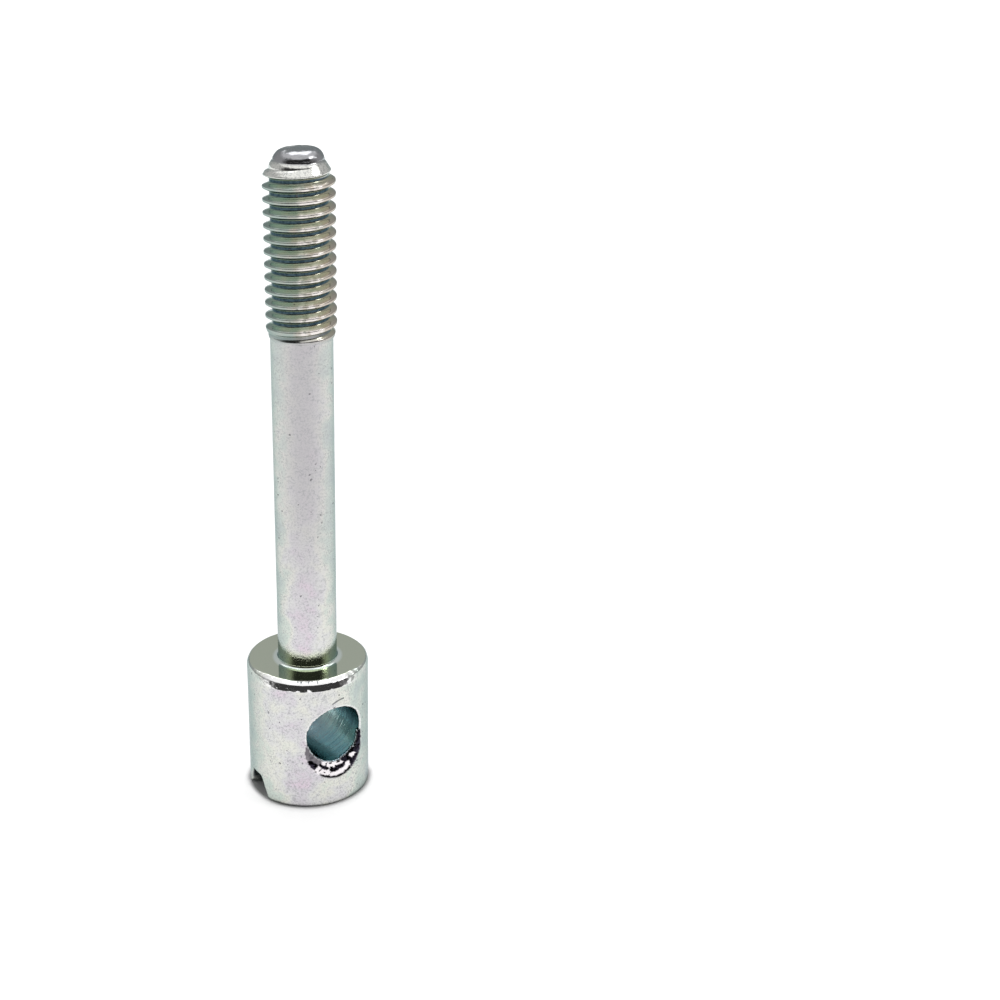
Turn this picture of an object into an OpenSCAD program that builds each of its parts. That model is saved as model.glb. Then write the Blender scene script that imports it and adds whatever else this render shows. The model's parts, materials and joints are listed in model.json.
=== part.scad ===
// Capstan screw, forged and drilled in one piece from steel wire, with a rolled thread and a bright zinc plate.
// It stands on the end of its head. The screw's axis is Z, the cross hole lies along Y and the slot along X.

/* [Head] */
// Diameter of the head
head_d = 7.15; // [6.8:0.05:9]
// Height of the head, from its end face to the bearing face
head_h = 8.3; // [7.6:0.1:12]
// Rounding of the rim of the end face
end_round = 0.3; // [0.1:0.05:0.5]
// Rounding of the rim of the bearing face
bearing_round = 0.35; // [0.1:0.05:0.6]

/* [Cross hole] */
// Diameter of the hole through the head
hole_d = 3.5; // [2.6:0.1:3.8]
// Height of the hole's axis above the end face
hole_z = 4.65; // [4.5:0.05:5.2]
// How far the pressed lip reaches below the hole's front mouth
lip_drop = 1; // [0.3:0.1:1.2]
// How deep the pressed lip sinks into the head's side
lip_depth = 0.2; // [0.1:0.05:0.5]

/* [Slot] */
// Width of the slot across the end face
slot_w = 1.05; // [0.8:0.05:1.2]
// Depth of the slot
slot_depth = 1.28; // [0.8:0.02:1.5]
// Diameter of the arch in which the slot opens on the head's side
mouth_d = 2.9; // [2.2:0.1:3.2]
// Height of that arch's middle above the end face
mouth_z = -0.1; // [-0.3:0.05:0.2]
// Radius of the flare from the slot's walls to the arch
mouth_round = 1.6; // [1.2:0.1:2]

/* [Cross recess] */
// Span across the recess's wings at the end face
recess_span = 4.3; // [3.6:0.1:4.8]
// Width of a wing
wing_w = 0.95; // [0.7:0.05:1]
// Radius of the curve between a wing and the slot
wing_round = 0.5; // [0.3:0.05:0.7]
// Depth of the recess's floor
recess_depth = 2.2; // [1.7:0.05:2.4]
// Diameter of the recess's floor
recess_floor_d = 2.2; // [1.4:0.1:2.8]
// Height of the cone that the punch's point leaves in the floor
punch_point = 0.25; // [0.1:0.05:0.3]

/* [Shank] */
// Length under the head, from the bearing face to the tip
under_head = 30; // [22:1:60]
// Diameter of the plain shank
shank_d = 3.46; // [3.2:0.02:3.6]
// Fillet between the shank and the bearing face
neck_round = 0.25; // [0.05:0.05:0.5]

/* [Thread] */
// Outer diameter of the thread
thread_d = 3.9; // [3.8:0.02:4]
// Pitch of the thread
pitch = 0.7; // [0.5:0.05:0.75]
// Width of the thread's crest
crest_w = 0.16; // [0.1:0.01:0.2]
// Width of the thread's root
root_w = 0.12; // [0.06:0.01:0.16]
// Angle between the two flanks of a groove
flank_angle = 60; // [55:1:60]
// Length of the threaded end, from its shoulder on the shank to the tip
thread_length = 10.4; // [6:0.1:16]
// Length of the shoulder between the shank and the thread
run_out = 0.35; // [0.2:0.05:0.8]
// Length of the bevel from the thread to the tip
tip_bevel = 0.85; // [0.4:0.05:0.9]
// Length of the bare tip beyond the bevel
tip_length = 0.7; // [0.5:0.05:1.2]
// Diameter of the tip
tip_d = 2.8; // [2.4:0.1:3.1]
// Rounding of the tip's edge
tip_round = 0.7; // [0.3:0.05:0.8]

/* [Hidden] */
$fn = 96;
zinc = [0.76, 0.78, 0.77];

// Cuts run past the faces that they open by this much
past = 1;

head_r = head_d / 2;
hole_r = hole_d / 2;
shank_r = shank_d / 2;
thread_r = thread_d / 2;
tip_r = tip_d / 2;
total_h = head_h + under_head;
thread_z = total_h - thread_length;
bevel_z = total_h - tip_length - tip_bevel;

// The flare of the slot's mouth: how much it widens the slot, and how far it reaches in from the head's side
flare_gain = (mouth_d - slot_w) / 2;
flare_reach = sqrt(pow(mouth_round, 2) - pow(mouth_round - flare_gain, 2));

// The thread's groove: its width at the crests, its depth, and how far its cutter stands clear of the crests
flank_slope = tan(flank_angle / 2);
groove_w = pitch - crest_w;
groove_depth = (groove_w - root_w) / (2 * flank_slope);
cutter_clear = crest_w / (4 * flank_slope);
steps_a_turn = 30;

// What a rounding of radius r takes off the outer corner at [r, 0]
module outer_corner(r) {
    difference() {
        translate([0, -past]) square([r + past, r + past]);
        translate([0, r]) circle(r);
        translate([-past, 0]) square([past, r + past]);
    }
}

// Half the section of a turned bar of radius r that stands on y = 0, with its two outer corners rounded
module turned_bar(r, h, low_round, high_round) {
    difference() {
        square([r, h]);
        translate([r - low_round, 0]) outer_corner(low_round);
        translate([r - high_round, h]) mirror([0, 1]) outer_corner(high_round);
    }
}

// Half the section of the fillet between the bearing face, at y = 0, and the shank
module neck_section() {
    difference() {
        translate([0, -past]) square([shank_r + neck_round, past + neck_round]);
        translate([shank_r + neck_round, neck_round]) circle(neck_round);
    }
}

// Half the section of the threaded end before it is rolled: shoulder, crests' cylinder, bevel and rounded tip
module threaded_section() {
    polygon([
        [0, thread_z],
        [shank_r, thread_z],
        [thread_r, thread_z + run_out],
        [thread_r, bevel_z],
        [tip_r, bevel_z + tip_bevel],
        [0, bevel_z + tip_bevel]
    ]);
    translate([0, bevel_z]) turned_bar(tip_r, tip_bevel + tip_length, 0, tip_round);
}

// The screw before it is drilled, slotted and threaded, turned about its axis
module blank() {
    rotate_extrude() {
        turned_bar(head_r, head_h, end_round, bearing_round);
        translate([0, head_h]) neck_section();
        translate([0, head_h - past]) square([shank_r, past + thread_z - head_h + run_out / 2]);
        threaded_section();
    }
}

// The groove's section as [radius, height] corners: clear of the thread at 0, and at its full depth at 1
function groove_section(full) =
    let (lift = (1 - full) * (groove_depth + cutter_clear / 2))
    [
        [thread_r - groove_depth + lift, -root_w / 2],
        [thread_r + cutter_clear + lift, -groove_w / 2 - cutter_clear * flank_slope],
        [thread_r + cutter_clear + lift, groove_w / 2 + cutter_clear * flank_slope],
        [thread_r - groove_depth + lift, root_w / 2]
    ];

// The right-handed groove between the crests, swept from above the bevel and fading out in its last turn
module thread_groove() {
    low_z = thread_z + run_out + groove_w / 2;
    steps = ceil((bevel_z + tip_bevel + pitch - low_z) / pitch * steps_a_turn);
    corners = len(groove_section(1));
    points = [
        for (i = [0 : steps], corner = groove_section(min(1, i / steps_a_turn)))
            let (turns = i / steps_a_turn)
            [corner.x * cos(360 * turns), corner.x * sin(360 * turns), low_z + pitch * turns + corner.y]
    ];
    sides = [
        for (i = [0 : steps - 1], k = [0 : corners - 1])
            let (a = corners * i + k, b = corners * i + (k + 1) % corners)
            each [[a, b, b + corners], [a, b + corners, a + corners]]
    ];
    first_end = [for (k = [corners - 1 : -1 : 0]) k];
    last_end = [for (k = [0 : corners - 1]) corners * steps + k];
    polyhedron(points, concat([first_end], sides, [last_end]));
}

// The lip's wedge, from the head's side down to its full depth at the hole's lower edge
module lip_section() {
    low = hole_z - hole_r - lip_drop;
    slope = lip_drop / lip_depth;
    polygon([
        [head_r - lip_depth, low + lip_drop],
        [head_r + past, low - past * slope],
        [head_r + past, hole_z],
        [head_r - lip_depth, hole_z]
    ]);
}

// The cross hole, with the pressed lip below its front mouth
module cross_hole() {
    translate([0, 0, hole_z]) rotate([90, 0, 0]) cylinder(h = head_d + 2 * past, r = hole_r, center = true);
    intersection() {
        translate([0, 0, hole_z - lip_drop]) rotate([90, 0, 0]) cylinder(h = head_r + past, r = hole_r);
        rotate_extrude() lip_section();
    }
}

// The flare at one end of the slot, turned about the slot's own line
module slot_mouth() {
    translate([head_r - flare_reach, 0, mouth_z]) rotate([0, 90, 0]) rotate_extrude() {
        difference() {
            square([slot_w / 2 + mouth_round, flare_reach]);
            translate([slot_w / 2 + mouth_round, 0]) circle(mouth_round);
        }
        translate([0, flare_reach]) square([mouth_d / 2, past]);
    }
}

// The slot across the end face, with a flared mouth at each end
module slot() {
    translate([-head_r - past, -slot_w / 2, -past]) cube([head_d + 2 * past, slot_w, slot_depth + past]);
    for (side = [0, 1]) mirror([side, 0, 0]) slot_mouth();
}

// The outline of the crossed wings, with a curve in each of the four corners between them
module wings() {
    corner = wing_w / 2 + wing_round;
    square([recess_span + 2 * past, wing_w], center = true);
    square([wing_w, recess_span + 2 * past], center = true);
    difference() {
        square(2 * corner, center = true);
        for (x = [-corner, corner], y = [-corner, corner]) translate([x, y]) circle(wing_round);
    }
}

// The cross recess: crossed wings that narrow towards the floor, and the cone of the punch's point
module cross_recess() {
    floor_r = recess_floor_d / 2;
    span_r = recess_span / 2;
    taper = (span_r - floor_r) / recess_depth;
    intersection() {
        translate([0, 0, -past]) linear_extrude(recess_depth + past) wings();
        translate([0, 0, -past]) cylinder(h = recess_depth + past, r1 = span_r + past * taper, r2 = floor_r);
    }
    translate([0, 0, recess_depth]) cylinder(h = punch_point, r1 = wing_w / 2, r2 = 0);
}

// The finished screw
module capstan_screw() {
    color(zinc) difference() {
        blank();
        thread_groove();
        cross_hole();
        slot();
        cross_recess();
    }
}

capstan_screw();
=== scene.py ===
# %% [markdown]
# A capstan screw in zinc plate.
# The real screw is one piece of steel wire. Its tall head is pressed cold, drilled across for a bar or a wire, and
# slotted in its end. The thread is rolled, and the whole screw is dipped in zinc with a clear blue-green passivation.
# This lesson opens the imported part, makes a finer skin for it in millimetres, plates it, and lights it on a table.

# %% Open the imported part
import json
import math

import bpy
import numpy as np
from mathutils import Matrix, Vector, noise


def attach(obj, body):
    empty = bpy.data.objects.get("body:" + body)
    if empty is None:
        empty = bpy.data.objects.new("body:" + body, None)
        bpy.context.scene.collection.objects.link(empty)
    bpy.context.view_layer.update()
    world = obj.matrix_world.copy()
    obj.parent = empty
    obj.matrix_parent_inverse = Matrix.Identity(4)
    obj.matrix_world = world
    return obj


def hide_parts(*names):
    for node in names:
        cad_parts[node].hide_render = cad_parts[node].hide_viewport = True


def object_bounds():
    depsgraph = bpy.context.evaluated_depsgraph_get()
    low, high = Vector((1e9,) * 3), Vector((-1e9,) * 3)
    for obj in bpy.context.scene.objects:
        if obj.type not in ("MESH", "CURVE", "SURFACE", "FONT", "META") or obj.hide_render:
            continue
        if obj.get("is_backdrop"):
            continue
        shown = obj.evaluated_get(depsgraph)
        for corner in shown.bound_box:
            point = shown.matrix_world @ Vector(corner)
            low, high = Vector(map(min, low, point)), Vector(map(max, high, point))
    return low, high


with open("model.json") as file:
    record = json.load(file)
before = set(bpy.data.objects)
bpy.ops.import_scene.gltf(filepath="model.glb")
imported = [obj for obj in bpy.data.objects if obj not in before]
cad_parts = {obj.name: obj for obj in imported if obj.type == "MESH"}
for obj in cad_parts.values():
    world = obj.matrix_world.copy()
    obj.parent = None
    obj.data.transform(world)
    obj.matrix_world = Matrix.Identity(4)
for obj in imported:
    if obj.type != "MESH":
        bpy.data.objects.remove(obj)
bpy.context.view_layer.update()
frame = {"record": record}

# %% [markdown]
# The sizes of the screw are those of the imported part, so that the skin lies on its faces.
# They are kept in millimetres, because a maker thinks of a screw in millimetres. Only the finished mesh is scaled to
# Blender's metres. The bearing face is turned a few hundredths lower than drawn. The bore in the imported record gives
# the hole.

# %% Sizes in millimetres
head_r = 7.15 / 2
head_h = 8.24
end_round = 0.1
shank_r = 3.46 / 2
neck_round = 0.21
screw_h = 38.3

bore = next(m for m in frame["record"]["mounts"] if m["name"] == "cross_hole")
hole_r = bore["dims"]["r_mm"]
hole_z = 1000 * bore["pos_m"][2]
print("Hole of", 2 * hole_r, "mm,", round(hole_z, 3), "mm above the end face")

# %% [markdown]
# The head is a solid with soft edges: rims that are rolled over, a hole, a slot and a cross recess that all meet.
# Boolean modifiers would leave hard, thin faces along each of these edges, and bevels fail where they cross.
# A distance field is an easier clay: it says how far each point is from the metal, below zero inside.
# Two fields join with a plain minimum or maximum, and these helpers also roll the edge where they meet.

# %% Helpers that join two distance fields with a rolled edge
def joined(a, b, r):
    """Both solids in one, with a fillet of radius r where they meet."""
    return np.maximum(r, np.minimum(a, b)) - np.hypot(np.maximum(r - a, 0), np.maximum(r - b, 0))


def shared(a, b, r):
    """Where both solids are, with the edge between them rounded by r."""
    return np.minimum(-r, np.maximum(a, b)) + np.hypot(np.maximum(r + a, 0), np.maximum(r + b, 0))


def cut(a, tool, r):
    """The solid a with the tool's shape taken away, and the new edge rounded by r."""
    return shared(a, -tool, r)


def ease(low, high, value):
    """A soft step from 0 at low to 1 at high."""
    t = np.clip((value - low) / (high - low), 0, 1)
    return t * t * (3 - 2 * t)


# %% [markdown]
# The blank comes first: the wire with its head pressed on. Only its side and its end belong to this field. The upper
# rim, the bearing face and the shank are turned later, because rings around one axis follow a round shape with far
# fewer faces than a net has.

# %% The pressed blank
def head_side(x, y):
    """The round side of the head."""
    return np.hypot(x, y) - head_r


# %% [markdown]
# The cross hole is drilled through the head for a tommy bar. Below its front mouth the metal is crushed in to a
# bright crescent, deeper at the right. Each scrap of it is smeared at its own angle and flashes like a chip of
# mirror. So the crescent is split into shards, and each one has a place and a slope of its own.

# %% The crushed lip below the hole
lip_z = hole_z - 1
lip_r = 1.85
bright_shards = [
    (-0.39, 2.87), (-0.19, 2.6), (0.0, 2.85), (-0.51, 2.62), (-0.82, 2.79), (-0.93, 2.33), (-0.65, 2.26),
    (-0.25, 2.05), (-0.02, 1.99), (0.23, 2.05), (0.5, 2.17), (0.77, 2.34), (0.31, 2.56), (0.19, 2.98),
    (0.48, 3.0), (0.12, 3.22), (0.37, 3.32), (0.82, 3.2), (1.12, 2.75), (-1.13, 2.57)]
dark_shards = [
    (-0.82, 2.57), (-0.68, 2.47), (-0.97, 2.69), (-0.31, 2.29), (-0.14, 2.24), (0.19, 2.79), (0.44, 2.7),
    (0.23, 2.33), (0.44, 2.35), (0.68, 2.6), (0.79, 2.99), (0.97, 2.6), (1.31, 2.49), (1.12, 3.12), (1.32, 3.37),
    (1.48, 3.03), (1.52, 3.48), (1.1, 2.31), (-1.31, 2.71), (-1.48, 2.91)]
grey_shards = [(-1.66, 3.58), (-1.52, 3.35), (-1.35, 3.12), (-1.18, 2.94), (-1.05, 2.98), (-1.75, 3.74)]
shards = np.array(bright_shards + dark_shards + grey_shards)
BRIGHT, DARK, GREY = 0, 1, 2
shard_kind = np.repeat([BRIGHT, DARK, GREY], [len(bright_shards), len(dark_shards), len(grey_shards)])
dice = np.random.default_rng(11)
lean = np.array([-0.2, 0.45, 0.1])[shard_kind] + dice.normal(0, 0.03, len(shards))
twist = dice.normal(0, 0.1, len(shards))
print("Lip of", len(shards), "shards")


def nearest_shard(x, z):
    """The number of the shard that each spot belongs to."""
    return ((x[:, None] - shards[:, 0]) ** 2 + (z[:, None] - shards[:, 1]) ** 2).argmin(1)


def lip_sink(x, z):
    """How deep the crushed metal lies below the head's side."""
    inside = lip_r - np.hypot(x, z - lip_z)
    near = nearest_shard(x, z)
    tilt = twist[near] * (x - shards[near, 0]) + lean[near] * (z - shards[near, 1])
    slope = 0.16 + 0.16 * np.exp(-(((x - 0.8) / 0.5) ** 2))
    return np.maximum(0.02 + inside * slope + tilt * np.clip(inside / 0.1, 0, 1), 0.02)


def crushed_lip(x, y, z):
    """The field of what is pressed away below the front mouth of the hole."""
    depth = head_r - np.hypot(x, y)
    lip = np.maximum(np.maximum(np.hypot(x, z - lip_z) - lip_r, y + 1), depth - 0.6)
    close = np.flatnonzero(lip < 0.4)
    lip[close] = np.maximum(lip[close], 0.95 * (depth[close] - lip_sink(x[close], z[close])))
    return lip


# %% [markdown]
# The drill's round hole is worn a little lower at the bottom, where bars and wires pulled on it. Its field is the
# distance from the hole's axis, with the lower half stretched, and the lip is taken away together with it.

# %% The cross hole
def bore_wall(x, z):
    """How far a point is from the wall of the hole, below zero inside the hole."""
    return np.hypot(x, np.where(z < hole_z, 0.95, 1) * (z - hole_z)) - hole_r


def cross_hole(x, y, z):
    """The drilled hole with the lip below its front mouth."""
    return np.minimum(bore_wall(x, z), crushed_lip(x, y, z))


# %% [markdown]
# The end of the head takes a flat driver in a slot, or a cross driver in the recess that shares it.
# The slot opens on the head's side in a flared arch, where the punch rolled the metal outwards. Towards each mouth the
# slot's walls lean apart, along the curve of a circle, so the opening is wide at the table and narrow at its top.

# %% The slot with its flared mouths
slot_w = 1.05
slot_depth = 1.28
mouth_d = 2.9
mouth_round = 1.6
flare_gain = (mouth_d - slot_w) / 2
flare_reach = math.sqrt(mouth_round**2 - (mouth_round - flare_gain) ** 2)


def end_slot(x, y, z):
    """The trough across the end face, whose walls lean apart towards its two mouths."""
    along = np.clip(np.abs(x) - head_r + flare_reach, 0, 1.5)
    gain = (mouth_round - np.sqrt(mouth_round**2 - along**2)) / flare_gain
    lean_out = 0.65 * gain
    walls = (np.abs(y) - slot_w / 2 - lean_out * np.maximum(slot_depth - z, 0)) / np.hypot(1, lean_out)
    return shared(walls, z - slot_depth - 0.08 * gain, 0.15)


# %% [markdown]
# The cross recess is pressed with a punch whose wings narrow towards its point. Two crossed bars with curved
# corners give the wings, a cone trims them, and a small cone stands for the mark of the punch's point.

# %% The cross recess
recess_span = 4.3
wing_w = 0.95
wing_round = 0.5
recess_depth = 2.2
recess_floor_d = 2.2
punch_point = 0.25


def cross_recess(x, y, z):
    """Crossed wings that narrow towards the floor, and the punch's point."""
    out = np.hypot(x, y)
    wings = joined(np.abs(x) - wing_w / 2, np.abs(y) - wing_w / 2, wing_round)
    taper = (recess_span - recess_floor_d) / 2 / recess_depth
    cone = (out - recess_span / 2 + taper * z) / math.hypot(1, taper)
    pocket = shared(shared(wings, cone, 0.12), z - recess_depth, 0.12)
    steep = wing_w / 2 / punch_point
    point = (out - wing_w / 2 + steep * (z - recess_depth)) / math.hypot(1, steep)
    return np.minimum(pocket, np.maximum(point, recess_depth - 0.05 - z))


# %% [markdown]
# One function puts the head together, in the order of the work: press the blank, punch the end, drill the hole.
# Its edges are rolled by different amounts: most where the slot meets the end face, where the punch dragged the metal
# along, while the outer rim and the drilled hole keep a crisp edge.

# %% The whole head as one field
def head_field(points):
    """How far each point is from the head's metal, in millimetres."""
    x, y, z = points.T
    side, slot = head_side(x, y), end_slot(x, y, z)
    metal = np.maximum(shared(side, -z, end_round), np.maximum(cut(side, slot, 0.12), cut(-z, slot, 0.4)))
    metal = cut(metal, cross_recess(x, y, z), 0.08)
    return cut(metal, cross_hole(x, y, z), 0.05)


print("Metal at the head's middle:", round(float(head_field(np.array([[2.5, 0.0, 4.0]]))[0]), 3), "mm deep")

# %% [markdown]
# A field has no faces yet. A net is laid over it: space is cut in small cells, each cell that the surface passes
# through gets one knot, and four knots around each crossed cell edge become a face. This is known as surface nets,
# and it gives even quads, which shade better than the triangles of marching cubes.

# %% Lay a net of quads over a field
def net_over(field, low, high, cell):
    """Knots and four-sided faces over the surface of a field, within a box."""
    counts = [int(round((b - a) / cell)) + 1 for a, b in zip(low, high)]
    ticks = [a + cell * np.arange(n) for a, n in zip(low, counts)]
    values = field(np.stack(np.meshgrid(*ticks, indexing="ij"), -1).reshape(-1, 3)).reshape(counts)
    inside = values < 0
    corners = [(i, j, k) for i in (0, 1) for j in (0, 1) for k in (0, 1)]
    filled = sum(inside[i : counts[0] - 1 + i, j : counts[1] - 1 + j, k : counts[2] - 1 + k].astype(int)
                 for i, j, k in corners)
    cells = np.argwhere((filled > 0) & (filled < 8))
    number = np.full(filled.shape, -1)
    number[tuple(cells.T)] = np.arange(len(cells))
    total = np.zeros((len(cells), 3))
    hits = np.zeros(len(cells))
    for corner in corners:
        for axis in range(3):
            if corner[axis]:
                continue
            step = np.eye(3, dtype=int)[axis]
            a = values[tuple((cells + corner).T)]
            b = values[tuple((cells + corner + step).T)]
            crossed = (a < 0) != (b < 0)
            share = np.where(crossed, a / np.where(crossed, a - b, 1), 0)
            total += crossed[:, None] * (np.array(corner) + share[:, None] * step)
            hits += crossed
    knots = np.array(low) + cell * (cells + total / hits[:, None])
    return knots, np.concatenate([faces_across(inside, number, axis) for axis in range(3)])


def faces_across(inside, number, axis):
    """The faces that cross grid edges along one axis, wound so that they look outwards."""
    u, v = (axis + 1) % 3, (axis + 2) % 3
    size = inside.shape
    first = np.take(inside, range(size[axis] - 1), axis)
    second = np.take(inside, range(1, size[axis]), axis)
    spots = np.argwhere(first != second)
    kept = (spots[:, u] > 0) & (spots[:, v] > 0) & (spots[:, u] < size[u] - 1) & (spots[:, v] < size[v] - 1)
    spots = spots[kept]
    around = []
    for du, dv in ((-1, -1), (0, -1), (0, 0), (-1, 0)):
        beside = spots.copy()
        beside[:, u] += du
        beside[:, v] += dv
        around.append(number[tuple(beside.T)])
    quads = np.stack(around, 1)
    inward = ~first[tuple(spots.T)]
    quads[inward] = quads[inward][:, ::-1]
    return quads


seam_z = 7.3
cell = 0.084
knots, head_faces = net_over(head_field, (-3.7, -3.7, -0.13), (3.7, 3.7, seam_z), cell)
print("Net over the head:", len(knots), "knots,", len(head_faces), "faces")

# %% [markdown]
# The knots sit near the surface, not on it. Each one slides down the field's slope until its distance is zero.
# In between, knots move towards the middle of their neighbours, which evens out the faces.

# %% Pull the net tight
def lay_on(field, points, rounds):
    """Moves points onto the surface of a field."""
    step = 0.003
    for _ in range(rounds):
        slope = np.stack([field(points + step * e) - field(points - step * e) for e in np.eye(3)], 1) / (2 * step)
        steep = np.maximum((slope**2).sum(1), 0.3)
        points = points - np.clip(field(points) / steep, -cell, cell)[:, None] * slope
    return points


def edges_of(faces):
    """Each edge of some faces as a sorted pair of knots, once for every face that has it."""
    return np.sort(np.stack([faces, np.roll(faces, -1, 1)], 2).reshape(-1, 2), 1)


def towards_neighbours(points, pairs, share):
    """Moves each point a share of the way to the middle of its neighbours."""
    ends = np.concatenate([pairs[:, 0], pairs[:, 1]])
    others = np.concatenate([pairs[:, 1], pairs[:, 0]])
    count = np.maximum(np.bincount(ends, minlength=len(points)), 1)
    middle = np.stack([np.bincount(ends, points[others, i], len(points)) for i in range(3)], 1) / count[:, None]
    return points + share * (middle - points)


pairs, uses = np.unique(edges_of(head_faces), axis=0, return_counts=True)
rim_pairs = pairs[uses == 1]
rim = np.unique(rim_pairs)
for _ in range(3):
    knots = towards_neighbours(lay_on(head_field, knots, 1), pairs, 0.4)
    knots[rim, 2] = seam_z - cell / 2
knots = lay_on(head_field, knots, 3)
knots[rim, 2] = seam_z - cell / 2
knots[rim, :2] *= head_r / np.hypot(knots[rim, 0], knots[rim, 1])[:, None]
print("Open rim at the top:", len(rim), "knots; farthest knot from the field's surface:",
      round(float(np.abs(head_field(knots)).max()), 4), "mm")

# %% [markdown]
# Above the net, the head is round again. Its upper rim is rounded, and on the side that faces the camera it is worn
# to two slopes, a steep one below and a flatter one above, which catch the light as a dark and a white band. The
# bearing face then runs in towards the shank. The corners of both profiles are given, softened with a small brush,
# and turned into rings that change from one profile to the other.

# %% The turned top of the head
def softened(values, width):
    """A row of numbers, smoothed over some steps."""
    brush = np.exp(-0.5 * (np.arange(-4 * width, 4 * width + 1) / width) ** 2)
    return np.convolve(np.pad(values, 4 * width, "edge"), brush / brush.sum(), "valid")


def rim_profile(corner_r, corner_z, stations):
    """Radius and height at some stations along a softened profile, each a share of its length."""
    walk = np.append(0, np.cumsum(np.hypot(np.diff(corner_r), np.diff(corner_z))))
    fine = np.arange(0, walk[-1], 0.005)
    return [np.interp(stations * walk[-1], fine, softened(np.interp(fine, walk, c), 6)) for c in (corner_r, corner_z)]


stations = np.concatenate([[0.06, 0.11], np.arange(0.15, 0.6, 0.0155), [0.66, 0.8]])
worn = rim_profile([head_r, head_r, 3.43, 3.15, 2.2], [seam_z, 7.7, 8.09, head_h, head_h], stations)
whole = rim_profile([head_r, head_r, 3.51, 3.4, 2.2], [seam_z, 7.93, 8.15, head_h, head_h], stations)


camera_turn = math.radians(117)


def worn_side(angle):
    """How much of the wear shows at an angle about the axis, from 0 to 1."""
    return ease(0.3, 0.75, np.cos(angle + camera_turn))


crown_columns = 320
crown_a = 2 * np.pi * np.arange(crown_columns) / crown_columns
nibbles = softened(np.tile(dice.normal(0, 1, crown_columns), 3), 1)[crown_columns : 2 * crown_columns]
wear = np.clip(worn_side(crown_a) * (0.9 + 0.13 * nibbles), 0, 1)
crown_r, crown_z = (np.outer(a, 1 - wear) + np.outer(b, wear) for a, b in zip(whole, worn))
crown = np.stack([crown_r * np.cos(crown_a), crown_r * np.sin(crown_a), crown_z], 2).reshape(-1, 3)
crown_rings = np.arange(len(crown)).reshape(len(stations), crown_columns)
print("Turned top:", len(stations), "rings of", crown_columns, "points")

# %% [markdown]
# The shank, the thread and the tip are round about one axis, so a radius for each angle and height describes them.
# The blank's radius runs along a few corners: shank, shoulder, crests, bevel, tip. The rolled groove lowers it
# along a right-handed helix and fades out in its last turn at the shoulder. Plating fills its root and rounds its
# crests a little, so the groove is blunter here than a drawing of the thread would have it.

# %% The radius of the threaded end
pitch = 0.7
thread_r = 1.95
groove_z = 27.84
groove_depth = 0.375
root_w = 0.19
flank_slope = 2.45
crest_blend = 0.08
tip_r = 1.4
tip_round = 0.7
corner_z = [0, 27.92, 28.02, 28.3, 28.55, 36.75, 37.62, 40]
corner_r = [shank_r, shank_r, 1.82, 1.875, thread_r, thread_r, tip_r, tip_r]
fine_z = np.arange(20, 40, 0.01)
fine_r = softened(np.interp(fine_z, corner_z, corner_r), 4)


def turned_radius(z):
    """The radius before the thread is rolled."""
    return np.interp(z, fine_z, fine_r)


def screw_radius(angle, z):
    """The radius of the finished screw at an angle about the axis and a height."""
    turns = (z - groove_z) / pitch - angle / (2 * np.pi)
    nearest = np.round(turns)
    off = np.maximum(np.abs(turns - nearest) * pitch - root_w / 2, 0)
    worked = np.clip(nearest + angle / (2 * np.pi), 0, 1)
    lift = (1 - worked) * (groove_depth + 0.05)
    groove = thread_r - groove_depth + lift + flank_slope * (np.hypot(off, 0.03) - 0.03)
    plain = turned_radius(z)
    blend = np.maximum(crest_blend - np.abs(plain - groove), 0)
    return np.minimum(plain, groove) - blend**2 / (4 * crest_blend)


print("Crest, flank and root radius in turn 6:",
      np.round(screw_radius(np.zeros(3), groove_z + 6 * pitch + np.array([0.35, 0.17, 0])), 3))

# %% [markdown]
# A plain grid of rows and columns would cut across the helix, and each crest would show steps.
# Here the rows follow the helix instead: one long strip winds around the screw, and its rows lie on the crest, the
# flanks and the root all the way. A wedge at each end, one turn long, brings the strip back to a level ring.

# %% Wind the threaded end
columns = 112
angles = 2 * np.pi * np.arange(columns) / columns
phases = np.array([0, 0.05, 0.095, 0.16, 0.26, 0.37, 0.44, 0.5, 0.56, 0.63, 0.74, 0.84, 0.905, 0.95])
rows = len(phases)
strip_z = groove_z - pitch / 2
full_turns = 13
row_step = 0.045
bar_angle, bar_z, bar_given = [], [], []
bar_faces = []


def add_points(angle, z, radius=np.nan):
    """Adds points to the bar and returns their numbers. Without a radius they get the threaded end's."""
    angle, z, radius = np.broadcast_arrays(angle, z, radius)
    start = sum(len(a) for a in bar_angle)
    bar_angle.append(angle.ravel())
    bar_z.append(z.ravel())
    bar_given.append(radius.ravel())
    return start + np.arange(angle.size).reshape(angle.shape)


def sew(low, high):
    """Faces between two level rings of the same count."""
    bar_faces.extend(np.stack([low, np.roll(low, -1), np.roll(high, -1), high], 1).tolist())


shank_foot = head_h + neck_round
shank_rows = np.concatenate([np.arange(shank_foot, 27.5, 0.4), np.arange(27.55, strip_z - 0.02, row_step)])
rings = [add_points(angles, z) for z in shank_rows]
level = add_points(angles, strip_z)
for low, high in zip(rings, rings[1:] + [level]):
    sew(low, high)

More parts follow.
